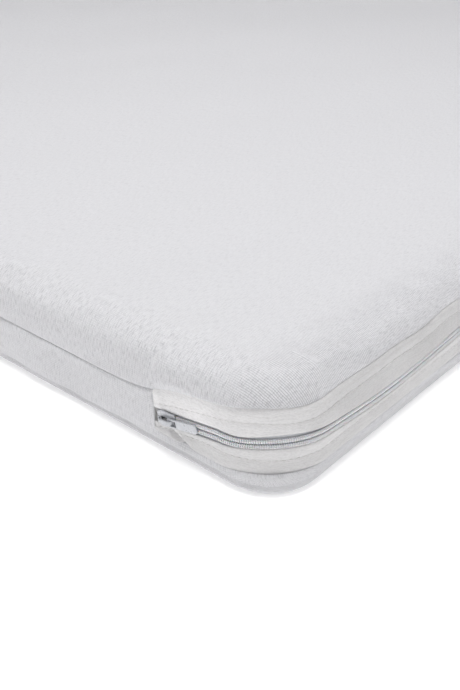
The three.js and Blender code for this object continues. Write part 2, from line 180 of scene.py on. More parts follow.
def zip_height(walk):
    """The zip's centre line. It wanders a little along the side and is straight where the slider runs."""
    straight = ZIP_HEIGHT - ZIP_SLOPE * np.maximum(0, station_of(walk) - CORNER)
    past = past_corner(walk)
    swing = 0.72 + 0.28 * np.cos(2 * math.pi * past / 610)
    wander = -0.9 + 2.9 * swing * np.cos(2 * math.pi * (past - 38) / 200)
    return straight + wander * smooth(past / 34)


def opening(walk, side):
    """Half the gap between the facings, above the zip (side 1) or below it (side -1)."""
    past = past_corner(walk)
    along, at_slider = 3.3, 4.4
    gap = along + (at_slider - along) * (1 - smooth(past / 16))
    if side > 0:
        gap = gap + 1.9 * np.exp(-(((past - 37) / 22) ** 2)) + 0.3 * np.sin(past / 31)
    return gap


def wall_line(climb):
    """Depth and height of the outer form, by the distance climbed from its foot."""
    upright = THICKNESS - TOP_ROLL
    angle = np.clip((climb - upright) / TOP_ROLL, 0, math.pi / 2)
    beyond = np.maximum(0, climb - upright - TOP_ROLL * math.pi / 2)
    depth = TOP_ROLL * (1 - np.cos(angle)) + beyond
    height = np.minimum(climb, upright) + TOP_ROLL * np.sin(angle)
    return depth, height


def climb_to(height):
    upright = THICKNESS - TOP_ROLL
    return np.minimum(height, upright) + TOP_ROLL * np.arcsin(np.clip((height - upright) / TOP_ROLL, 0, 1))


def lean(height):
    """How far the upper roll has carried the wall inwards at a height."""
    return wall_line(climb_to(height))[0]


# ---- Meshes ----
def piece_of(name, points, faces):
    mesh = bpy.data.meshes.new(name)
    mesh.from_pydata((np.asarray(points, float) * MM).tolist(), [], [list(map(int, f)) for f in faces])
    mesh.validate()
    mesh.shade_smooth()
    return add_object(name, mesh)


def add_object(name, data):
    made = bpy.data.objects.new(name, data)
    scene.collection.objects.link(made)
    return made


def edit_mesh(piece, change):
    """Runs change(grid) on the piece's mesh, opened as a bmesh."""
    grid = bmesh.new()
    grid.from_mesh(piece.data)
    change(grid)
    grid.to_mesh(piece.data)
    grid.free()


def closed_piece(name, points, faces):
    """A piece whose faces are closed bodies, turned to face outwards."""
    piece = piece_of(name, points, faces)
    edit_mesh(piece, lambda grid: bmesh.ops.recalc_face_normals(grid, faces=grid.faces))
    piece.data.shade_smooth()
    return piece


def bridge(upper, lower, columns):
    """Quads between two rings of points, each given as its number in a grid with that many columns."""
    here = np.arange(columns)
    after = (here + 1) % columns
    upper, lower = upper * columns, lower * columns
    return np.stack([upper + here, upper + after, lower + after, lower + here], 1)


def ring_quads(rings, columns):
    """Quads over a stack of rings of points."""
    return np.vstack([bridge(ring, ring + 1, columns) for ring in range(rings - 1)])


def tube_faces(rings, columns, first=0):
    """Faces over a stack of rings, closed at both ends. The points are numbered from first."""
    faces = (first + ring_quads(rings, columns)).tolist()
    last = first + (rings - 1) * columns
    faces.append(list(range(first, first + columns))[::-1])
    faces.append(list(range(last, last + columns)))
    return faces


def set_amount(piece, name, amounts):
    """Gives each point a number that a finish reads by name."""
    attribute = piece.data.attributes.new(name, "FLOAT", "POINT")
    attribute.data.foreach_set("value", np.asarray(amounts, np.float32).ravel())


def set_pair(piece, name, pairs):
    """Gives each point two numbers that a finish reads by name."""
    attribute = piece.data.attributes.new(name, "FLOAT_VECTOR", "POINT")
    padded = np.pad(np.asarray(pairs, np.float32), ((0, 0), (0, 1)))
    attribute.data.foreach_set("vector", padded.ravel())


def set_cloth_places(piece, places):
    """Where each point lies on the flat cloth, in metres. The weaves are drawn in these coordinates."""
    set_pair(piece, "cloth", places * MM)


def lay_flat_places(piece, least_depth):
    """Further in than least_depth a panel is flat, and a place on the cloth is the place in plan."""
    points = coordinates(piece.data)
    values = np.zeros(points.size, np.float32)
    attribute = piece.data.attributes["cloth"]
    attribute.data.foreach_get("vector", values)
    values = values.reshape(-1, 3)
    depth = np.minimum(HALF_LENGTH * MM - np.abs(points[:, 0]), HALF_WIDTH * MM - np.abs(points[:, 1]))
    flat = depth > least_depth * MM
    values[flat, :2] = points[flat, :2]
    attribute.data.foreach_set("vector", values.ravel())


def roll_strain(points):
    """How far the top knit is stretched, from 0 to 1: across its ribs, over the long sides and most near
    their ends, and along its streaks, round the upper edge."""
    x, y, z = np.asarray(points, float).T
    in_x, in_y = HALF_LENGTH - np.abs(x), HALF_WIDTH - np.abs(y)
    roll = smooth((34 - np.minimum(in_x, in_y)) / 26) * smooth((z - 30) / 20)
    at_corner = np.exp(-(np.clip(in_x - 70, 0, None) / 90) ** 2)
    over_side = smooth((46 - in_y) / 32) * smooth((z - 44) / 12)
    ribs = over_side * (0.4 + 0.6 * at_corner)
    return np.clip(np.stack([ribs, roll], 1), 0, 1)


def coordinates(mesh):
    flat = np.zeros(len(mesh.vertices) * 3, np.float32)
    mesh.vertices.foreach_get("co", flat)
    return flat.reshape(-1, 3).astype(float)


def apply_modifiers(piece):
    bpy.context.view_layer.update()
    graph = bpy.context.evaluated_depsgraph_get()
    mesh = bpy.data.meshes.new_from_object(piece.evaluated_get(graph), depsgraph=graph)
    piece.modifiers.clear()
    old, piece.data = piece.data, mesh
    bpy.data.meshes.remove(old)
    mesh.name = piece.name
    mesh.shade_smooth()


def subdivide(piece, levels=1):
    modifier = piece.modifiers.new("Subdivision", "SUBSURF")
    modifier.levels = modifier.render_levels = levels
    apply_modifiers(piece)


def swell(piece, held, pressure, reach):
    """Lets the cloth settle under a light pressure from inside. No point moves further than reach, in mm."""
    rest = coordinates(piece.data)
    group = piece.vertex_groups.new(name="held")
    for weight in np.unique(np.round(held, 2)):
        members = np.flatnonzero(np.round(held, 2) == weight)
        group.add(members.tolist(), float(weight), "REPLACE")
    cloth = piece.modifiers.new("Cloth", "CLOTH")
    chosen = {
        "quality": 4, "mass": 0.2,
        "tension_stiffness": 12, "compression_stiffness": 12, "shear_stiffness": 6, "bending_stiffness": 0.6,
        "use_pressure": True, "uniform_pressure_force": pressure, "shrink_min": -0.004,
        "vertex_group_mass": "held", "pin_stiffness": 0.6,
    }
    for setting, value in chosen.items():
        setattr(cloth.settings, setting, value)
    cloth.settings.effector_weights.gravity = 0
    cloth.collision_settings.use_collision = False
    cloth.point_cache.frame_start = 1
    cloth.point_cache.frame_end = SETTLING_FRAMES
    for number in range(1, SETTLING_FRAMES + 1):
        scene.frame_set(number)
    graph = bpy.context.evaluated_depsgraph_get()
    settled = coordinates(piece.evaluated_get(graph).data)
    move = settled - rest
    length = np.linalg.norm(move, axis=1, keepdims=True)
    limit = reach * MM
    move *= limit * np.tanh(length / limit) / np.maximum(length, 1e-9)
    piece.modifiers.clear()
    piece.vertex_groups.clear()
    piece.data.vertices.foreach_set("co", (rest + move).astype(np.float32).ravel())
    piece.data.update()
    scene.frame_set(1)


# ---- Cover panels ----
def panel_columns():
    """Places round the outline for both panels' columns, from the middle of the near corner's arc and closer
    together near it. Also how many lie along a side and along an end."""
    half_arc = (ARC / 2, 6)
    side = [half_arc, (300, 37), (LONG - 300, 104), half_arc]
    end = [half_arc, (LEG, 6), (0.8, 1), (2.2, 1), (200, 22), (SHORT - LEG - 203, 38), half_arc]
    spans = side + end + side[::-1] + end[::-1]
    walk = [LEG + ARC / 2]
    for length, cells in spans:
        walk += (walk[-1] + np.linspace(0, length, cells + 1)[1:]).tolist()
    across = sum(cells for _, cells in side)
    along = sum(cells for _, cells in end)
    return np.mod(np.array(walk[:-1]), PERIMETER), across, along


COLUMNS, ACROSS, ALONG = panel_columns()


def fill_inside(ring, across, along):
    """Points and quads that fill a ring given from its near corner, as a grid of across by along cells."""
    count = len(ring)
    bottom = ring[: across + 1]
    right = ring[across : across + along + 1]
    top = ring[across + along : 2 * across + along + 1][::-1]
    left = np.vstack([ring[2 * across + along :], ring[:1]])[::-1]

    def shares(line):
        steps = np.linalg.norm(np.diff(line, axis=0), axis=1)
        return np.concatenate([[0], np.cumsum(steps) / steps.sum()])

    u = ((shares(bottom) + shares(top)) / 2)[:, None, None]
    v = ((shares(left) + shares(right)) / 2)[None, :, None]
    grid = (
        (1 - v) * bottom[:, None] + v * top[:, None] + (1 - u) * left[None] + u * right[None]
        - (1 - u) * (1 - v) * bottom[0] - u * (1 - v) * bottom[-1] - (1 - u) * v * top[0] - u * v * top[-1]
    )
    inner = grid[1:-1, 1:-1]
    numbers = np.zeros((across + 1, along + 1), int)
    numbers[1:-1, 1:-1] = count + np.arange(inner[..., 0].size).reshape(inner.shape[:2])
    numbers[:, 0] = np.arange(across + 1)
    numbers[-1] = across + np.arange(along + 1)
    numbers[:, -1] = across + along + np.arange(across + 1)[::-1]
    numbers[0, 1:] = count - np.arange(1, along + 1)
    corners = [numbers[:-1, :-1], numbers[1:, :-1], numbers[1:, 1:], numbers[:-1, 1:]]
    return inner.reshape(-1, 3), np.stack(corners, -1).reshape(-1, 4)


def ring_points(depth, height):
    """Points at each column's depth and height."""
    x, y, nx, ny = outline(COLUMNS)
    return np.stack([x - nx * depth, y - ny * depth, height + 0 * x], 1)


def flat_ring(depth, height):
    """A ring on a flat face. Its corners keep a small radius however deep it lies."""
    least = 14.0
    x, y, nx, ny = outline(COLUMNS)
    radius = max(CORNER - depth, least)
    centre = []
    for place, normal, half in ((x, nx, HALF_LENGTH), (y, ny, HALF_WIDTH)):
        middle = place - CORNER * normal
        centre.append(middle * (half - depth - radius) / (half - CORNER) + radius * normal)
    return np.stack([centre[0], centre[1], np.full(len(x), float(height))], 1)


def cloth_points(spread):
    """The columns' places on the flat cloth, spread out from the outline by the way down the wall."""
    x, y, nx, ny = outline(COLUMNS)
    return np.stack([x + nx * spread, y + ny * spread], 1)


FLAT_DEPTHS = (25, 29, 34, 41, 50, 62, 78)


def top_panel():
    """The knitted top: its rim turns in at the main seam, climbs the walls and rolls over onto the flat."""
    seam = seam_height(COLUMNS)
    foot = climb_to(seam)
    roll_end = climb_to(THICKNESS)
    rows = [(4.5, seam + 0.3), (1.6, seam - 0.1), (0.5, seam + 0.3)]
    station = station_of(COLUMNS)
    beside_end = np.exp(-(((station - 76) / 17) ** 2)) * (COLUMNS < FACING_LENGTH + 5)
    rings = [ring_points(lean(seam) + depth + 1.7 * beside_end, height) for depth, height in rows]
    places = [cloth_points(roll_end - foot - TOP_ROLL + 2 - k) for k in range(3)]
    for share in np.linspace(0, 1, 18) ** 1.25:
        climb = foot + 1.2 + (roll_end - foot - 1.2) * share
        depth, height = wall_line(climb)
        bulge = 1.6 * math.sin(math.pi * min(1.0, 1.5 * share)) - 1.6 * max(0.0, 1 - share / 0.09) ** 1.5
        rings.append(ring_points(depth - bulge * beside_end, height))
        places.append(cloth_points(roll_end - climb - TOP_ROLL))
    for depth in FLAT_DEPTHS:
        rings.append(flat_ring(depth, THICKNESS))
        places.append(rings[-1][:, :2])
    inner, fill = fill_inside(rings[-1], ACROSS, ALONG)
    points = np.vstack(rings + [inner])
    faces = np.vstack([ring_quads(len(rings), len(COLUMNS)), fill + (len(rings) - 1) * len(COLUMNS)])
    piece = piece_of("cover_top", undulate(points), faces)
    set_cloth_places(piece, np.vstack(places + [inner[:, :2]]))
    set_pair(piece, "strain", roll_strain(points))
    held = np.full(len(points), 0.9)
    held[: 4 * len(COLUMNS)] = 1.0
    held[4 * len(COLUMNS) : 20 * len(COLUMNS)] = 0.05
    swell(piece, held, pressure=1.0, reach=1.2)
    subdivide(piece)
    lay_flat_places(piece, 27)
    return piece


def undulate(points):
    """Soft unevenness of the foam under the cloth: low swells on the flat, dents along the upper edge."""
    x, y, z = points.T
    edge = np.minimum(HALF_LENGTH - np.abs(x), HALF_WIDTH - np.abs(y))
    flat = smooth((z - 55) / 15)
    swell_height = 0.55 * waves([x, y], 260, 11) + 0.25 * waves([x, y], 90, 12)
    dents = 0.5 * waves([x, y], 120, 13) * np.exp(-(((edge - 16) / 16) ** 2))
    moved = points.copy()
    moved[:, 2] += flat * (swell_height * smooth(edge / 60) + dents)
    return moved


def bottom_depth(walk, height):
    """Depth of the lower panel's wall below the outline. It sits back from the seams above. At the corners
    its foot stands out past the arc, as the foot's own radius is smaller."""
    _, _, nx, ny = outline(walk)
    diagonal = 2 * np.abs(nx * ny)
    foot_out = (CORNER - FOOT_CORNER) * (math.sqrt(2) - 1)
    low = 1 - smooth((height - 4) / 26)
    beside_zip = np.where(walk < FACING_LENGTH, smooth((past_corner(walk) + 20) / 60), 0)
    back = 0.25 + 0.35 * beside_zip * low
    return back - foot_out * diagonal**1.5 * low


def bottom_panel():
    """The lower panel: walls from the seams down, the lower roll and the flat underside."""
    count = len(COLUMNS)
    seam = seam_height(COLUMNS)
    zipped = COLUMNS < FACING_LENGTH + 0.01
    plain_rows = [(4.5, 0.1), (1.4, -0.5), (0.5, -0.35), (-0.6, 0.6), (-0.9, 2.0), (-0.3, 4.0), (0.1, 7.0)]
    end_distance = np.minimum(PERIMETER - COLUMNS, COLUMNS - FACING_LENGTH)
    tucked = 1.6 * np.exp(-np.clip(end_distance, 0, 40) / 0.8)
    rings, places = [], []

    def add(depth, height):
        rings.append(ring_points(depth, height))
        places.append(cloth_points(height + BOTTOM_ROLL))

    for depth, drop in plain_rows:
        height = seam - drop
        add(bottom_depth(COLUMNS, height) + depth + tucked, height)
    upper_limit = seam - plain_rows[-1][1]
    for share in (0.35, 0.7, 1.0):
        height = upper_limit + (LOWER_SEAM - upper_limit) * share
        add(bottom_depth(COLUMNS, height) + tucked * (1 - share), height)
    first_low = len(rings) - 1
    for height in (10.5, 8.0):
        add(bottom_depth(COLUMNS, height) + 0 * seam, height + 0 * seam)
    for angle in np.radians([20, 40, 60, 78, 90]):
        depth = BOTTOM_ROLL * (1 - math.cos(angle))
        height = BOTTOM_ROLL * (1 - math.sin(angle))
        rings.append(ring_points(bottom_depth(COLUMNS, height) + depth, np.full(count, height)))
        places.append(cloth_points(BOTTOM_ROLL * (math.pi / 2 - angle) - BOTTOM_ROLL))
    for depth in (12, 18, 28, 42, 60, 78):
        rings.append(flat_ring(depth, 0))
        places.append(rings[-1][:, :2])
    lip = len(rings)
    for depth, rise in ((5.0, -0.4), (2.4, 0.3), (0.8, 0.35)):
        add(bottom_depth(COLUMNS, LOWER_SEAM) + depth, LOWER_SEAM + rise + 0 * seam)
    inner, fill = fill_inside(rings[lip - 1], ACROSS, ALONG)
    faces = []
    both = zipped & np.roll(zipped, -1)
    for row in range(lip - 1):
        strip = bridge(row, row + 1, count)
        faces.append(strip if row >= first_low else strip[~both])
    for upper, lower in ((lip, lip + 1), (lip + 1, lip + 2), (lip + 2, first_low)):
        faces.append(bridge(upper, lower, count)[both])
    filled_from = len(rings) * count
    faces.append(np.where(fill < count, fill + (lip - 1) * count, fill - count + filled_from))
    faces = np.vstack(faces)[:, ::-1]
    points = fold_cloth(np.vstack(rings + [inner]))
    piece = piece_of("cover_bottom", points, faces)
    set_cloth_places(piece, np.vstack(places + [inner[:, :2]]))
    set_pair(piece, "strain", np.outer(smooth(points[:, 2] / 10), (0, 0.5)))
    held = np.ones(len(points))
    for row in range(4, first_low + 4):
        held[row * count : (row + 1) * count] = 0.08
    held[first_low * count : (first_low + 1) * count][zipped] = 1.0
    swell(piece, held, pressure=1.0, reach=1.4)
    edit_mesh(piece, drop_loose_points)
    subdivide(piece)
    lay_flat_places(piece, 14)
    return piece


def drop_loose_points(grid):
    bmesh.ops.delete(grid, geom=[v for v in grid.verts if not v.link_faces], context="VERTS")


def fold_depth(x, y, z):
    """Depth of the fold that the cloth makes under the slider, on the near end wall."""
    station = y + HALF_WIDTH
    start, stop = np.array([77.5, 19.3]), np.array([66.0, 12.6])
    line = stop - start
    share = ((station - start[0]) * line[0] + (z - start[1]) * line[1]) / (line @ line)
    off = ((station - start[0]) * -line[1] + (z - start[1]) * line[0]) / np.linalg.norm(line)
    width = 0.9 + 1.6 * np.clip(share, 0, 1.2)
    present = smooth(share * 4 + 0.6) * smooth((1.45 - share) * 1.8)
    valley = np.exp(-((off / width) ** 2))
    ridges = np.exp(-(((np.abs(off) - 3.4) / 2.4) ** 2))
    return np.where(x < -HALF_LENGTH + 30, present * (2.9 * valley - 0.4 * ridges), 0)


def fold_cloth(points):
    """The lower panel with the fold under the slider, and a soft swell on its walls."""
    moved = points.copy()
    x, y, z = points.T
    moved[:, 0] += fold_depth(x, y, z)
    upright = smooth(z / 8)
    swell_out = 0.35 * waves([x + y, 2 * z], 70, 21) * upright
    moved[:, 0] -= np.sign(x) * swell_out * smooth((np.abs(x) - HALF_LENGTH + 30) / 30)
    moved[:, 1] -= np.sign(y) * swell_out * smooth((np.abs(y) - HALF_WIDTH + 30) / 30)
    return moved


# ---- Lofts along the outline ----
def loft(walk, depths, heights):
    """A bar along the outline. depths and heights hold one row of section points for each place."""
    x, y, nx, ny = (part[:, None] for part in outline(walk))
    inset = lean(heights) + depths
    points = np.stack([x - nx * inset, y - ny * inset, heights], 2)
    return points.reshape(-1, 3), tube_faces(*depths.shape)


def cloth_strip(name, walk, depths, heights):
    """A sewn strip of cloth, closed all round."""
    points, faces = loft(walk, depths, heights)
    piece = closed_piece(name, points, faces)
    set_cloth_places(piece, np.stack([np.repeat(walk, depths.shape[1]), points[:, 2]], 1))
    return piece


def facing_columns():
    """Places along the facings, close together where they bend and where the slider runs."""
    end = np.linspace(-0.5, LEG, 35)
    corner = np.linspace(LEG, LEG + ARC, 46)[1:]
    side = np.linspace(LEG + ARC, FACING_LENGTH - LEG - ARC, 640)[1:]
    far_corner, far_end = (FACING_LENGTH - near[::-1][1:] for near in (corner, end))
    return np.concatenate([end, corner, side, far_corner, far_end])


def end_tuck(walk):
    """How far a facing's end turns in, at the upright seams on the end walls."""
    from_end = np.clip(np.minimum(walk, FACING_LENGTH - walk), 0, None)
    return 0.5 * np.exp(-from_end / 0.5)


def refined(rows):
    """Two more section points between each two of a section's, so that it can follow a fold."""
    count = rows.shape[1]
    fine = np.linspace(0, count - 1, 3 * (count - 1) + 1)
    low = np.minimum(fine.astype(int), count - 2)
    share = fine - low
    return rows[:, low] * (1 - share) + rows[:, low + 1] * share


def facing(side):
    """A doubled strip of plain cloth from a seam to the zip's opening, folded there and topstitched."""
    walk = facing_columns()
    edge = zip_height(walk) + side * opening(walk, side)
    if side > 0:
        seam = seam_height(walk)
        stitch = seam - TOPSTITCH_DROP
    else:
        seam = np.full(len(walk), LOWER_SEAM)
        stitch = seam + LOWER_TOPSTITCH_RISE
    stitch = np.where(side * (stitch - edge) > LEAST_FLAP, stitch, edge + side * LEAST_FLAP)
    reach = side * (seam - stitch)
    flap = side * (stitch - edge)
    puff = 0.45 * smooth(past_corner(walk) / 30 + 0.2) * (1 + 0.3 * waves([walk], 60, 31 + side))
    pucker = 0.12 * np.sin(2 * math.pi * walk / STITCH_PITCH)
    section = [
        # depth and height, from the seam over the outside to the opening and back behind
        (2.6 + 0 * walk, seam - side * 0.3),
        (0.9 + 0 * walk, seam + side * 0.5),
        (0.3 + 0 * walk, seam + side * 0.1),
        (-0.1 - 0.4 * puff, seam - side * 0.2 * reach),
        (-0.1 - 0.7 * puff, seam - side * 0.45 * reach),
        (0.05 - 0.4 * puff, seam - side * 0.75 * reach),
        (0.25 + pucker, stitch + side * 0.6),
        (0.3 + pucker, stitch),
        (0.25 + pucker, stitch - side * 0.6),
        (0.2 - 0.5 * puff, stitch - side * 0.25 * flap),
        (0.15 - 0.8 * puff, stitch - side * 0.55 * flap),
        (0.15 - 0.7 * puff, edge + side * 0.9),
        (0.4 - 0.6 * puff, edge + side * 0.25),
        (0.8 - 0.4 * puff, edge + 0 * walk),
        (1.2 - 0.2 * puff, edge + side * 0.3),
        (1.4 + 0 * walk, edge + side * 1.2),
        (1.5 + 0 * walk, stitch),
        (1.5 + 0 * walk, seam - side * 2.0),
    ]
    depths = refined(np.stack([depth for depth, _ in section], 1))
    heights = refined(np.stack([height for _, height in section], 1))
    depths = depths + facing_set_back(walk[:, None], heights, seam[:, None], edge[:, None], side)
    name = "zip_facing_top" if side > 0 else "zip_facing_under"
    piece = cloth_strip(name, walk, depths, heights)
    # Painted light and shade on the facing's colour, read by its finish.
    set_amount(piece, "painted_light", facing_painted_light(walk, heights, side))
    groove = 0.22 + facing_set_back(walk, stitch, seam, edge, side)
    return piece, walk, stitch, groove


def facing_painted_light(walk, heights, side):
    """How much light is painted on a facing, from 0 to 1: the upper one is painted lighter on the end walls
    and darker in the shade along the side, the lower one darker towards its seam.
    """
    if side < 0:
        return 0.06 + 0.34 * smooth((heights - LOWER_SEAM) / 14)
    past = past_corner(walk)
    along = 0.04 + 0.46 * (1 - smooth((past - 30) / 50)) + 0.5 * (1 - smooth((past + 20) / 50))
    return along[:, None] + 0 * heights


def facing_set_back(walk, height, seam, edge, side):
    """How far a facing lies behind the outline. Both turn in at their ends. The upper one leans out to the
    opening on the end walls, and the lower one follows the foot and the fold under the slider."""
    tuck = end_tuck(walk)
    if side > 0:
        share = np.clip((seam - height) / np.maximum(seam - edge, 1), 0, 1)
        on_end = 1 - smooth((past_corner(walk) - 5) / 60)
        on_side = smooth((past_corner(walk) - 50) / 60)
        on_end = on_end * smooth(np.minimum(walk, FACING_LENGTH - walk) / 5 + 0.1)
        return tuck + on_end * 2.3 * (1 - share) ** 1.2 + on_side * 0.9 * np.sin(math.pi * share)
    x, y, _, _ = outline(walk)
    low = 1 - smooth((height - LOWER_SEAM) / 16)
    return tuck + fold_depth(x, y, height) + 0.25 * low * smooth(past_corner(walk) / 40)


def topstitching(name, walk, height, depth):
    """A row of separate stitches, each a short thread that dips into the cloth at both ends."""
    sides, knots = 6, 5
    begins = np.arange(walk[0] + STITCH_PITCH, walk[-1] - STITCH_PITCH, STITCH_PITCH)
    share = np.linspace(0, 1, knots)
    rise = np.sin(share * math.pi) ** 0.5
    points, faces = [], []
    for number, begin in enumerate(begins):
        places = begin + share * STITCH_LENGTH
        x, y, nx, ny = outline(places)
        h = np.interp(places, walk, height)
        d = np.interp(places, walk, depth) + 0.25 - 0.42 * rise + lean(h)
        for k in range(knots):
            thick = STITCH_RADIUS * (0.55 + 0.45 * rise[k])
            for turn in np.arange(sides) * 2 * math.pi / sides:
                out = d[k] - thick * math.cos(turn)
                points.append((x[k] - nx[k] * out, y[k] - ny[k] * out, h[k] + thick * math.sin(turn)))
        faces += tube_faces(knots, sides, first=number * sides * knots)
    return closed_piece(name, points, faces)


def tape(side):
    """The woven tape behind a facing, from the coil outwards."""
    walk = facing_columns()
    centre = zip_height(walk)
    inner = centre + side * COIL_ROW[0]
    outer = np.clip(centre + side * TAPE_HALF, LOWER_SEAM + 2.5, seam_height(walk) - 4)
    outside, inside = TAPE_DEPTHS
    middle = (outside + inside) / 2
    section = [(0, middle)] + [(share, outside) for share in (0, 0.02, 0.3, 0.6, 0.98, 1)]
    section += [(1, middle)] + [(share, inside) for share in (0.98, 0.6, 0.3, 0.02)]
    shares, depth_row = np.array(section).T
    heights = inner[:, None] + (outer - inner)[:, None] * shares
    seam = seam_height(walk) if side > 0 else np.full(len(walk), LOWER_SEAM)
    edge = centre + side * opening(walk, side)
    depths = depth_row + facing_set_back(walk[:, None], heights, seam[:, None], edge[:, None], side)
    name = "zip_tape_over" if side > 0 else "zip_tape_under"
    return cloth_strip(name, walk, depths, heights)


# ---- The coil ----
COIL_STRAND = 0.33
COIL_SQUASH = 1.65     # how much wider than thick the strand is, along the zip
COIL_TURN = [
    # across from the centre line, depth, share of the pitch
    (2.66, 0.32, 0.00),
    (1.75, 0.22, 0.02),
    (0.78, 0.30, 0.04),
    (0.70, 0.80, 0.08),
    (0.80, 1.28, 0.16),
    (1.80, 1.36, 0.50),
    (2.55, 1.28, 0.84),
    (2.72, 0.80, 0.95),
]


def coil_ends():
    return FACING_END - COIL_START, FACING_LENGTH - (FACING_END - COIL_FINISH)


def coil(side):
    """One row of the zip: a nylon strand wound into flattened turns."""
    begin, end = coil_ends()
    turns = int((end - begin) / COIL_PITCH)
    shape = np.array(COIL_TURN)
    across = np.tile(shape[:, 0], turns)
    depth = np.tile(shape[:, 1], turns)
    offset = 0.5 if side < 0 else 0.0
    turned = np.repeat(np.arange(turns), len(shape)) + np.tile(shape[:, 2], turns) + offset
    walk = begin + COIL_PITCH * turned
    name = "zip_coil_over" if side > 0 else "zip_coil_under"
    return strand(name, walk, zip_height(walk) + side * across, depth, COIL_STRAND, 6, COIL_SQUASH)


def strand(name, walk, height, depth, radius, sides, squash=1.0):
    """A thread through points along the outline, squash times wider along the outline than it is thick."""
    x, y, nx, ny = outline(walk)
    line = np.stack([x - nx * depth, y - ny * depth, height], 1)
    ahead = np.gradient(line, axis=0)
    ahead /= np.linalg.norm(ahead, axis=1, keepdims=True)
    tangent = np.stack([-ny, nx, 0 * nx], 1)
    first = np.cross(ahead, tangent)
    first /= np.maximum(np.linalg.norm(first, axis=1, keepdims=True), 1e-6)
    second = np.cross(ahead, first)
    turn = np.arange(sides) * 2 * math.pi / sides
    thick = np.cos(turn)[:, None] * first[:, None]
    wide = squash * np.sin(turn)[:, None] * second[:, None]
    points = line[:, None] + radius * (thick + wide)
    return closed_piece(name, points.reshape(-1, 3), tube_faces(len(line), sides))


def coil_sewing(side):
    """The chain of thread that holds a row of the coil to its tape."""
    begin, end = coil_ends()
    walk = np.arange(begin + 1, end - 1, COIL_PITCH / 4)
    phase = 2 * math.pi * (walk - begin) / COIL_PITCH
    height = zip_height(walk) + side * (1.95 + 0.12 * np.sin(phase / 2))
    depth = -0.16 + 0.07 * np.cos(phase)
    name = "coil_thread_over" if side > 0 else "coil_thread_under"
    return strand(name, walk, height, depth, 0.11, 5)


# ---- Slider, tab and stops ----
# Their own frame: x along the zip towards the corner, y up the wall, z out of the wall.
SLOPE = math.atan(ZIP_SLOPE)
slider_origin = Vector((
    -HALF_LENGTH,
    SLIDER_STATION - HALF_WIDTH,
    ZIP_HEIGHT - ZIP_SLOPE * (SLIDER_STATION - CORNER),
))
ZIP_FRAME = Matrix((
    (0, 0, -1, slider_origin.x),
    (-math.cos(SLOPE), math.sin(SLOPE), 0, slider_origin.y),
    (math.sin(SLOPE), math.cos(SLOPE), 0, slider_origin.z),
    (0, 0, 0, 1),
))


def bezier(start, first, second, stop, steps):
    t = np.linspace(0, 1, steps + 1)[:, None]
    start, first, second, stop = (np.array(p, float) for p in (start, first, second, stop))
    return (1 - t) ** 3 * start + 3 * (1 - t) ** 2 * t * first + 3 * (1 - t) * t**2 * second + t**3 * stop


def plate_outline():
    """Half of a slider plate: narrow tail, wide nose, and a notch at the nose's middle."""
    half, tail, nose = 6.5, 4.1, 4.9
    upper = np.vstack([
        bezier((half, 0), (half, 2.5), (half, tail), (half - 1.2, tail), 8),
        bezier((half - 1.2, tail), (1, tail), (0, nose), (-half + 3.4, nose), 10)[1:],
        bezier((-half + 3.4, nose), (-half + 0.8, nose), (-half, 3.6), (-half, 1.7), 8)[1:],
        bezier((-half, 1.7), (-half, 0.9), (-half + 0.8, 0.6), (-half + 0.9, 0), 5)[1:],
    ])
    lower = upper[1:-1][::-1] * (1, -1)
    return np.vstack([upper, lower])


def add_prism(grid, outline_points, bottom, top):
    low = [grid.verts.new((x, y, bottom)) for x, y in outline_points]
    high = [grid.verts.new((x, y, top)) for x, y in outline_points]
    count = len(low)
    grid.faces.new(low[::-1])
    grid.faces.new(high)
    for k in range(count):
        grid.faces.new((low[k], low[(k + 1) % count], high[(k + 1) % count], high[k]))


def add_block(grid, x0, x1, y0, y1, z0, z1):
    add_prism(grid, [(x0, y0), (x1, y0), (x1, y1), (x0, y1)], z0, z1)


def add_band(grid, line, half, metal):
    """A flat band of metal that follows a line in the x-z plane, centred on y = 0."""
    line = np.array(line, float)
    ahead = np.gradient(line, axis=0)
    ahead /= np.linalg.norm(ahead, axis=1, keepdims=True)
    side = np.stack([-ahead[:, 1], ahead[:, 0]], 1) * metal / 2
    corners = []
    for (x, z), (sx, sz) in zip(line, side):
        ring = ((-1, -half), (1, -half), (1, half), (-1, half))
        corners.append([grid.verts.new((x + out * sx, y, z + out * sz)) for out, y in ring])
    for one, two in zip(corners, corners[1:]):
        for k in range(4):
            grid.faces.new((one[k], one[(k + 1) % 4], two[(k + 1) % 4], two[k]))
    grid.faces.new(corners[0][::-1])
    grid.faces.new(corners[-1])


def bare_object(name, grid):
    mesh = bpy.data.meshes.new(name)
    bmesh.ops.recalc_face_normals(grid, faces=grid.faces)
    grid.to_mesh(mesh)
    grid.free()
    return add_object(name, mesh)


def cast(name, grid, voxel, rounds):
    """Turns overlapping solids into one cast body with soft edges, and puts it on the wall."""
    piece = bare_object(name, grid)
    remesh = piece.modifiers.new("Remesh", "REMESH")
    remesh.mode = "VOXEL"
    remesh.voxel_size = voxel
    soften = piece.modifiers.new("Soften", "SMOOTH")
    soften.factor = 0.5
    soften.iterations = rounds
    apply_modifiers(piece)
    # Marks the painted shade under the crown and behind the tab's eye.
    set_painted_shade(piece)
    piece.data.transform(Matrix.Scale(MM, 4) @ ZIP_FRAME)
    return piece


def set_painted_shade(piece):
    """Marks where near-black shade is painted on the metal: under the crown and behind the tab's eye.
    In the slider's frame.
    """
    x, y, z = coordinates(piece.data).T
    off = np.abs(y)
    along = smooth((x + 4.35) / 0.4) * smooth((0.9 - x) / 0.8)
    gap = along * smooth((1.5 - off) / 0.4) * smooth((3.6 - z) / 0.2)
    eye = smooth((x - 5.5) / 0.3) * smooth((1.9 - off) / 0.4) * smooth((1.5 - z) / 0.2)
    set_amount(piece, "painted_shade", np.maximum(gap, eye) * (z > 0.9) * (x < 7))


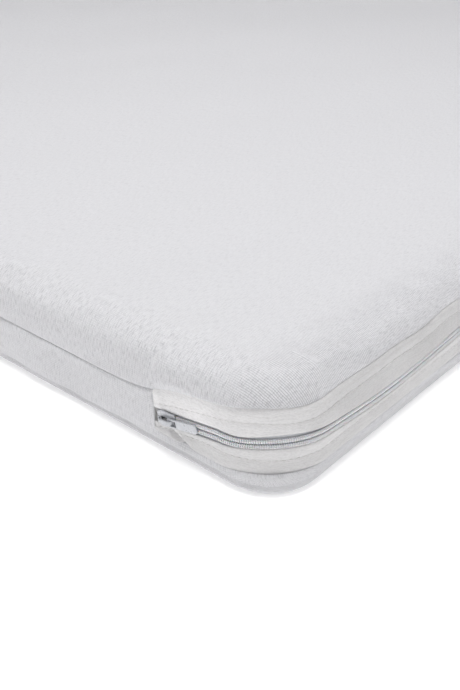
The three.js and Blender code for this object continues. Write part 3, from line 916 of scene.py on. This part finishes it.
def slider():
    """Two plates joined by a wedge at the nose, flanges along both sides, and a crown that holds the tab."""
    grid = bmesh.new()
    plate = plate_outline()
    add_prism(grid, plate, 0.2, 1.3)
    add_prism(grid, plate, -4.6, -3.5)
    add_block(grid, -5.4, -2.4, -0.33, 0.33, -4.2, 0.5)
    for side in (-1, 1):
        low, high = sorted((side * 3.42, side * 3.9))
        add_block(grid, -5.2, 5.8, low, high, -1.4, 0.5)
    top, nose, tail = 4.1, -4.95, 5.1
    arch = np.vstack([
        bezier((tail, 0.9), (tail, 2.6), (tail - 0.2, top), (tail - 2.2, top), 9),
        bezier((tail - 2.2, top), (1.4, top), (-0.6, top), (nose + 2.9, top), 6)[1:],
        bezier((nose + 2.9, top), (nose + 0.9, top), (nose, 2.6), (nose, 0.9), 9)[1:],
    ])
    add_band(grid, arch, 1.1, 1.0)
    return cast("zip_slider_body", grid, 0.16, 3)


def pull_tab():
    """A plain tab with an eye at the crown and a rounded end. It hangs a little low and rolled."""
    grid = bmesh.new()
    neck, half, length = 2.7, 3.0, 19.5
    upper = np.vstack([
        [(-0.75, neck)],
        [(4.0, neck)],
        bezier((4, neck), (6, neck), (6, half), (8, half), 8)[1:],
        [(length - 2.2, half)],
        bezier((length - 2.2, half), (length - 0.4, half), (length, 1.4), (length, 0), 8)[1:],
    ])
    outside = np.vstack([upper, upper[:-1][::-1] * (1, -1)])
    eye = [(0.75, -1.9), (4.8, -1.9), (4.8, 1.9), (0.75, 1.9)]
    thick = 0.5
    add_prism(grid, outside, -thick, thick)
    blank = bare_object("tab_blank", grid)
    cutter = bmesh.new()
    add_prism(cutter, eye, -4 * thick, 4 * thick)
    tool = bare_object("tab_cutter", cutter)
    cut = blank.modifiers.new("Cut", "BOOLEAN")
    cut.operation = "DIFFERENCE"
    cut.solver = "EXACT"
    cut.object = tool
    apply_modifiers(blank)
    grid = bmesh.new()
    grid.from_mesh(blank.data)
    bpy.data.objects.remove(blank)
    bpy.data.objects.remove(tool)
    hang = Matrix.Rotation(math.radians(TAB_LEAN), 4, "Y") @ Matrix.Rotation(math.radians(TAB_ROLL), 4, "X")
    bmesh.ops.transform(grid, matrix=Matrix.Translation(TAB_PIVOT) @ hang, verts=grid.verts)
    return cast("zip_pull", grid, 0.13, 2)


def bar_tack(name, walk0, walk1):
    """Thread sewn to and fro across the end of the opening."""
    walk = np.arange(walk0, walk1, 0.11)
    swing = np.where(np.arange(len(walk)) % 2, 1.0, -1.0)
    return strand(name, walk, zip_height(walk) + 4.6 * swing, np.full(len(walk), 0.45), 0.14, 5)


def stop_block(name, walk0, walk1, low, high):
    """A small metal clamp pressed round the coil's end."""
    rings = 7
    walk = np.linspace(walk0, walk1, rings)
    turn = np.radians(np.arange(0, 360, 30))
    middle, half = (low + high) / 2, (high - low) / 2
    depth, half_depth = 1.2, 1.05
    across, deep = (np.sign(wave) * np.abs(wave) ** 0.4 for wave in (np.cos(turn), np.sin(turn)))
    pinch = 1 - 0.25 * np.abs(np.linspace(-1, 1, rings)[:, None]) ** 4
    depths = depth + half_depth * deep * pinch
    heights = zip_height(walk)[:, None] + middle + half * across * pinch
    return closed_piece(name, *loft(walk, depths, heights))


# ---- Materials ----
class Finish:
    """A Principled material whose nodes are made in a line or two each."""

    def __init__(self, name, **constants):
        self.material = bpy.data.materials.new(name)
        self.material.use_nodes = True
        self.tree = self.material.node_tree
        self.surface = self.tree.nodes["Principled BSDF"]
        for socket, value in constants.items():
            self.surface.inputs[socket.replace("_", " ")].default_value = value

    def node(self, kind, inputs=None, output=0, **settings):
        made = self.tree.nodes.new("ShaderNode" + kind)
        for key, value in settings.items():
            setattr(made, key, value)
        for key, value in (inputs or {}).items():
            if isinstance(value, bpy.types.NodeSocket):
                self.tree.links.new(value, made.inputs[key])
            else:
                made.inputs[key].default_value = value
        return made.outputs[output]

    def cloth(self):
        return self.node("Attribute", attribute_name="cloth", output=1)

    def amount(self, name):
        return self.node("Attribute", attribute_name=name, output=2)

    def place(self):
        return self.node("TexCoord", output=3)

    def scaled(self, vector, factors):
        return self.node("VectorMath", {0: vector, 1: factors}, operation="MULTIPLY")

    def noise(self, vector, scale=1.0, detail=2.0, roughness=0.5):
        inputs = {"Vector": vector, "Scale": scale, "Detail": detail, "Roughness": roughness}
        return self.node("TexNoise", inputs)

    def math(self, operation, a, b=0.0, clamp=False):
        return self.node("Math", {0: a, 1: b}, operation=operation, use_clamp=clamp)

    def window(self, value, low, high, out_low=0.0, out_high=1.0):
        inputs = {"Value": value, "From Min": low, "From Max": high, "To Min": out_low, "To Max": out_high}
        return self.node("MapRange", inputs, clamp=True)

    def colours(self, share, one, two):
        """A mix of two colours, either of which may be a node's."""
        one, two = ((*each, 1) if isinstance(each, tuple) else each for each in (one, two))
        return self.node("Mix", {0: share, 6: one, 7: two}, output=2, data_type="RGBA")

    def ridges(self, coordinate, pitch):
        """A wave of 0 to 1 across a coordinate in metres, once every pitch in metres."""
        angle = self.math("MULTIPLY", coordinate, 2 * math.pi / pitch)
        return self.window(self.math("SINE", angle), -1, 1)

    def bump(self, height, distance, strength=1.0):
        normal = self.node("Bump", {"Height": height, "Distance": distance, "Strength": strength})
        self.tree.links.new(normal, self.surface.inputs["Normal"])

    def base(self, socket):
        self.tree.links.new(socket, self.surface.inputs["Base Color"])

    def rough(self, socket):
        self.tree.links.new(socket, self.surface.inputs["Roughness"])


def split(finish, vector):
    separated = finish.tree.nodes.new("ShaderNodeSeparateXYZ")
    finish.tree.links.new(vector, separated.inputs[0])
    return separated.outputs[0], separated.outputs[1], separated.outputs[2]


def knit_finish():
    """Fine single jersey in mixed pale yarns, with ribs of V-shaped loops across the mattress and short
    streaks of darker yarn along it. Where it is stretched, both show more."""
    finish = Finish("knit_cloth", Sheen_Weight=0.25, Sheen_Roughness=0.6, Specular_IOR_Level=0.2)
    rib_pitch, loop_pitch = 0.00125, 0.00095
    cloth = finish.cloth()
    u, v, _ = split(finish, cloth)
    rib_strain, streak_strain, _ = split(finish, finish.node("Attribute", attribute_name="strain", output=1))
    streaks = finish.noise(finish.scaled(cloth, (210, 1500, 1)), detail=3, roughness=0.66)
    flecks = finish.noise(finish.scaled(cloth, (700, 1700, 1)), detail=2, roughness=0.6)
    mottle = finish.noise(cloth, 60, detail=3)
    uneven = finish.math("MULTIPLY", finish.noise(cloth, 140, detail=1), 0.7)
    rib_turn = finish.math("ADD", finish.math("DIVIDE", u, rib_pitch), uneven)
    across_rib = finish.math("PINGPONG", rib_turn, 0.5)
    slant = finish.math("MULTIPLY", across_rib, 1.1)
    along_rib = finish.math("ADD", finish.math("DIVIDE", v, loop_pitch), slant)
    loop = finish.math("SINE", finish.math("MULTIPLY", finish.math("FRACT", along_rib), math.pi))
    groove = finish.window(across_rib, 0.16, 0.0)
    streaks_shown = finish.window(streak_strain, 0, 1, 0.5, 1.1)
    dark_yarn = finish.math("MULTIPLY", finish.window(streaks, 0.47, 0.72), streaks_shown)
    dark_fleck = finish.window(flecks, 0.55, 0.75)
    dark = finish.math("ADD", dark_yarn, finish.math("MULTIPLY", dark_fleck, 0.35), clamp=True)
    patch = finish.window(mottle, 0.36, 0.62)
    open_groove = finish.math("MULTIPLY", rib_strain, finish.window(patch, 0, 1, 0.5, 2.3))
    groove_shade = finish.math("MULTIPLY", groove, finish.math("ADD", open_groove, 0.16))
    loop_shade = finish.math("MULTIPLY", finish.math("SUBTRACT", 1.0, loop), 0.14)
    knit_shade = finish.math("ADD", groove_shade, loop_shade)
    shade = finish.math("ADD", finish.math("MULTIPLY", dark, 0.75), knit_shade, clamp=True)
    finish.base(finish.colours(shade, (0.755, 0.752, 0.775), (0.44, 0.437, 0.46)))
    finish.rough(finish.window(dark, 0, 1, 0.82, 0.95))
    ribs = finish.math("MULTIPLY", finish.window(across_rib, 0.0, 0.25), finish.window(loop, 0, 1, 0.55, 1.0))
    height = finish.math("ADD", ribs, finish.math("MULTIPLY", streaks, 0.8))
    finish.bump(height, 0.0002, 0.8)
    return finish.material


def plain_weave_finish(name, light, dark, pitch, relief, painted_lit=False, **constants):
    """A plain weave with slubs in it. With painted light, its colour is painted darker where the painted
    light is 0 and lighter at 1.
    """
    finish = Finish(name, Specular_IOR_Level=0.25, **constants)
    cloth = finish.cloth()
    u, v, _ = split(finish, cloth)
    warp = finish.ridges(u, pitch)
    weft = finish.ridges(v, pitch * 1.1)
    weave = finish.math("MULTIPLY", warp, weft)
    slub = finish.noise(finish.scaled(cloth, (120, 900, 1)), detail=3)
    mottle = finish.noise(cloth, 40, detail=3)
    fleck = finish.noise(finish.scaled(cloth, (520, 1500, 1)), detail=2, roughness=0.7)
    slub_shade = finish.window(slub, 0.4, 0.75, 0, 0.45)
    mottle_shade = finish.window(mottle, 0.4, 0.7, 0, 0.3)
    fleck_shade = finish.window(fleck, 0.42, 0.72, 0, 0.7)
    shade = finish.math("ADD", slub_shade, mottle_shade, clamp=True)
    shade = finish.math("ADD", shade, fleck_shade, clamp=True)
    colour = finish.colours(shade, light, dark)
    # Painted light and shade: the colour is scaled darker or lighter by the painted light amount.
    if painted_lit:
        factor = finish.window(finish.amount("painted_light"), 0, 1, 0.83, 1.18)
        colour = finish.node("VectorMath", {0: colour, 3: factor}, operation="SCALE")
    finish.base(colour)
    finish.rough(finish.window(slub, 0.3, 0.7, 0.78, 0.92))
    height = finish.math("ADD", weave, finish.math("MULTIPLY", slub, 0.8))
    finish.bump(height, relief, 0.8)
    return finish.material


def strand_finish(name, scale, detail, light, dark, roughness, relief, **constants):
    """Spun or drawn thread, a little uneven in colour, gloss and surface."""
    finish = Finish(name, **constants)
    uneven = finish.noise(finish.place(), scale, detail=detail)
    finish.base(finish.colours(finish.window(uneven, 0.35, 0.7), light, dark))
    finish.rough(finish.window(uneven, 0.3, 0.7, *roughness))
    finish.bump(uneven, relief)
    return finish.material


def enamel_finish():
    """White stoved enamel over cast metal, faintly uneven and dulled in patches, with painted shade, near
    black, under the crown and behind the tab's eye.
    """
    finish = Finish("white_metal", Coat_Weight=0.35, Coat_Roughness=0.15, Specular_IOR_Level=0.6)
    place = finish.place()
    patches = finish.noise(place, 260, detail=4, roughness=0.6)
    specks = finish.noise(place, 2600, detail=2)
    dull = finish.window(patches, 0.4, 0.75)
    enamel = finish.colours(dull, (0.54, 0.55, 0.58), (0.42, 0.43, 0.46))
    # Painted shade: near black under the slider's crown and behind the tab's eye.
    finish.base(finish.colours(finish.amount("painted_shade"), enamel, (0.015, 0.015, 0.018)))
    finish.rough(finish.window(patches, 0.3, 0.75, 0.22, 0.42))
    finish.tree.links.new(finish.window(dull, 0, 1, 0.25, 0.5), finish.surface.inputs["Metallic"])
    finish.bump(finish.math("ADD", patches, finish.math("MULTIPLY", specks, 0.3)), 0.00005, 0.5)
    return finish.material


def foam_finish(name, light, dark):
    """Open-cell foam: fine pores with thin walls between them."""
    finish = Finish(name, Specular_IOR_Level=0.1, Sheen_Weight=0.1)
    place = finish.place()
    cells = finish.node("TexVoronoi", {"Vector": place, "Scale": 700.0})
    broad = finish.noise(place, 25, detail=4)
    pores = finish.window(cells, 0.15, 0.55)
    broad_shade = finish.window(broad, 0.4, 0.7, 0, 0.5)
    shade = finish.math("ADD", finish.math("MULTIPLY", pores, 0.5), broad_shade, clamp=True)
    finish.base(finish.colours(shade, light, dark))
    finish.rough(finish.window(cells, 0, 0.6, 0.85, 1.0))
    finish.bump(finish.math("MULTIPLY", cells, -1.0), 0.0006)
    return finish.material


FINISHES = {
    "knit_cloth": knit_finish(),
    # The facings' colour carries painted light and shade.
    "facing_cloth": plain_weave_finish(
        "facing_cloth", (0.85, 0.84, 0.845), (0.68, 0.67, 0.675), 0.00055, 0.00012, True, Sheen_Weight=0.15
    ),
    "zip_tape": plain_weave_finish("zip_tape", (0.76, 0.77, 0.80), (0.65, 0.66, 0.69), 0.0007, 0.00015),
    "seam_thread": strand_finish(
        "seam_thread", 2500, 2, (0.88, 0.87, 0.87), (0.78, 0.77, 0.77), (0.6, 0.8), 0.0001,
        Sheen_Weight=0.2, Specular_IOR_Level=0.35,
    ),
    "zip_nylon": strand_finish(
        "zip_nylon", 350, 3, (0.88, 0.885, 0.91), (0.80, 0.805, 0.83), (0.32, 0.5), 0.00003,
        Specular_IOR_Level=0.45, Subsurface_Weight=0.15, Subsurface_Scale=0.001,
    ),
    "white_metal": enamel_finish(),
    "base_foam": foam_finish("base_foam", (0.80, 0.76, 0.58), (0.62, 0.57, 0.40)),
    "comfort_foam": foam_finish("comfort_foam", (0.62, 0.72, 0.82), (0.46, 0.56, 0.67)),
    "sleeve_cloth": plain_weave_finish("sleeve_cloth", (0.8, 0.8, 0.78), (0.68, 0.68, 0.66), 0.0008, 0.0002),
}


def dress(piece, finish, body, *nodes):
    """Gives a piece its finish, its body and the CAD nodes that it stands for."""
    piece.data.materials.clear()
    piece.data.materials.append(FINISHES[finish])
    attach(piece, body)
    if nodes:
        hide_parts(*nodes)


# ---- The pieces ----
cover_top = top_panel()
dress(cover_top, "knit_cloth", "mattress", "cover_top_panel")

cover_bottom = bottom_panel()
dress(cover_bottom, "knit_cloth", "mattress", "cover_bottom_panel")

coil_begin, coil_end = coil_ends()
for word, over, side in (("upper", "over", 1), ("lower", "under", -1)):
    strip, *stitch_line = facing(side)
    dress(strip, "facing_cloth", "mattress", f"zip_facing_{word}")
    dress(topstitching(f"topstitch_{over}", *stitch_line), "seam_thread", "mattress", f"topstitch_{word}")
    dress(tape(side), "zip_tape", "mattress", f"zip_tape_{word}")
    dress(coil(side), "zip_nylon", "mattress", f"zip_coil_{word}")
    dress(coil_sewing(side), "seam_thread", "mattress")
    clamp_end = coil_begin - STOP_GAP
    row = sorted(side * edge for edge in COIL_ROW)
    clamp = stop_block(f"top_stop_{over}", clamp_end - TOP_STOP, clamp_end, *row)
    dress(clamp, "white_metal", "mattress", f"top_stop_{word}")

dress(bar_tack("bar_tack_slider_end", *TACK), "seam_thread", "mattress")
dress(bar_tack("bar_tack_far_end", *(FACING_LENGTH - end for end in TACK[::-1])), "seam_thread", "mattress")

clamp_start = coil_end + STOP_GAP
clamp = stop_block("bottom_stop_clamp", clamp_start, clamp_start + BOTTOM_STOP, -COIL_ROW[1], COIL_ROW[1])
dress(clamp, "white_metal", "mattress", "bottom_stop")

dress(slider(), "white_metal", "zip_slider", "slider_body")
dress(pull_tab(), "white_metal", "zip_pull", "pull_tab")

# CAD nodes that keep their own shapes
SHOWN_NODES = {
    "foam_base": "base_foam",
    "foam_comfort_layer": "comfort_foam",
    "inner_sleeve": "sleeve_cloth",
    "main_seam_allowance": "seam_thread",
    "lower_seam_allowance": "seam_thread",
    "facing_end_seam_slider_end": "seam_thread",
    "facing_end_seam_far_end": "seam_thread",
}
for node, finish in SHOWN_NODES.items():
    held = frame["nodes"][node]
    held.data.materials.clear()
    held.data.materials.append(FINISHES[finish])


# ---- Floor, light and camera ----
# Softboxes: where each hangs from the lit corner, where it points from there, in metres, and its watts
SOFTBOXES = {
    "overhead": ((0.10, 0.15, 1.25), (0.10, 0.15, 0), 7.2),
    "right": ((0.25, -1.45, 0.85), (0, 0, 0), 4.6),
    "left": ((-1.45, 0.25, 0.85), (0, 0, 0), 4.8),
}
SOFTBOX_SIZE = 0.9
CEILING_STRENGTH = 1.46
CEILING_ANGLE = 35.0
WORLD_STRENGTH = 0.14
FLOOR_GLOW = 0.3
CAMERA_FROM_CORNER = (-0.2988, -0.2243, 0.3270)  # in metres
CAMERA_HEADING = 40.78
CAMERA_PITCH = 30.89
CAMERA_LENS = 48.81


def floor():
    half, top = 12000.0, -0.3
    plan = [(-half, -half), (half, -half), (half, half), (-half, half)]
    ground = piece_of("floor", [(x, y, top) for x, y in plan], [(0, 1, 2, 3)])
    finish = Finish("floor_paint", Roughness=0.9, Specular_IOR_Level=0.1, Emission_Strength=FLOOR_GLOW)
    finish.surface.inputs["Emission Color"].default_value = (1, 1, 1, 1)
    grain = finish.noise(finish.place(), 60, detail=3)
    finish.base(finish.colours(grain, (0.97, 0.97, 0.97), (0.955, 0.955, 0.955)))
    ground.data.materials.append(finish.material)


def softbox(name, place, target, power):
    light = bpy.data.lights.new(name, "AREA")
    light.size = SOFTBOX_SIZE
    light.energy = power
    point_from(add_object(name, light), place, target - place)


def point_from(thing, place, ahead):
    thing.location = place
    thing.rotation_mode = "QUATERNION"
    thing.rotation_quaternion = ahead.to_track_quat("-Z", "Y")


def ceiling_light():
    """Broad, even light from straight above."""
    light = bpy.data.lights.new("ceiling", "SUN")
    light.energy = CEILING_STRENGTH
    light.angle = math.radians(CEILING_ANGLE)
    add_object("ceiling", light)


def world():
    made = bpy.data.worlds.new("studio")
    made.use_nodes = True
    sky = made.node_tree.nodes["Background"]
    sky.inputs["Color"].default_value = (1, 1, 1, 1)
    sky.inputs["Strength"].default_value = WORLD_STRENGTH
    scene.world = made


def camera():
    """Looks down over the near corner, where the zip ends."""
    corner = Vector((-HALF_LENGTH, -HALF_WIDTH, 0)) * MM
    data = bpy.data.cameras.new("camera")
    data.sensor_width = 36
    data.lens = CAMERA_LENS
    data.clip_start, data.clip_end = 0.01, 60
    heading, pitch = math.radians(CAMERA_HEADING), math.radians(CAMERA_PITCH)
    level = math.cos(pitch)
    ahead = Vector((math.cos(heading) * level, math.sin(heading) * level, -math.sin(pitch)))
    scene.camera = add_object("camera", data)
    point_from(scene.camera, corner + Vector(CAMERA_FROM_CORNER), ahead)


floor()
world()
lit_corner = Vector((-HALF_LENGTH + 150, -HALF_WIDTH + 150, 50)) * MM
for name, (place, target, watts) in SOFTBOXES.items():
    softbox(name, lit_corner + Vector(place), lit_corner + Vector(target), watts)
ceiling_light()
camera()
scene.view_settings.view_transform = "Standard"
